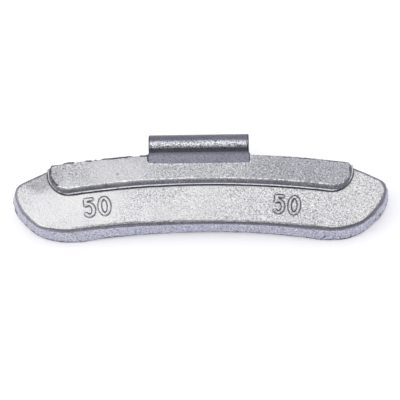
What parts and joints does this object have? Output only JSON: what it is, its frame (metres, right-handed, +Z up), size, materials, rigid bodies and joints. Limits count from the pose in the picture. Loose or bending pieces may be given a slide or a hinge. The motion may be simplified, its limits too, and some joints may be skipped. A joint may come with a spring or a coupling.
{
  "type": "wheel balance weight",
  "caption": "Clip-on wheel balance weight: a curved die-cast body with a raised band, rounded ends and a spring steel clip cast into its upper edge.",
  "frame": {"origin": "middle of the bounding box, on the surface that the weight lies on, front face up, resting on the lower back edges of its end pads and on the tip of its clip", "axes": "+X along the length, +Y from the lower edge towards the clip, +Z up; the front face leans back by about 13 degrees"},
  "size_m": [0.0902, 0.0248, 0.0124],
  "materials": {
    "zinc_casting": "bare die-cast zinc with a grainy, satin as-cast skin and bright ragged parting edges",
    "spring_steel": "coated spring steel strip, satin, slightly rough"
  },
  "bodies": {
    "root": {"cast_body": "zinc_casting", "spring_clip": "spring_steel"}
  },
  "joints": []
}
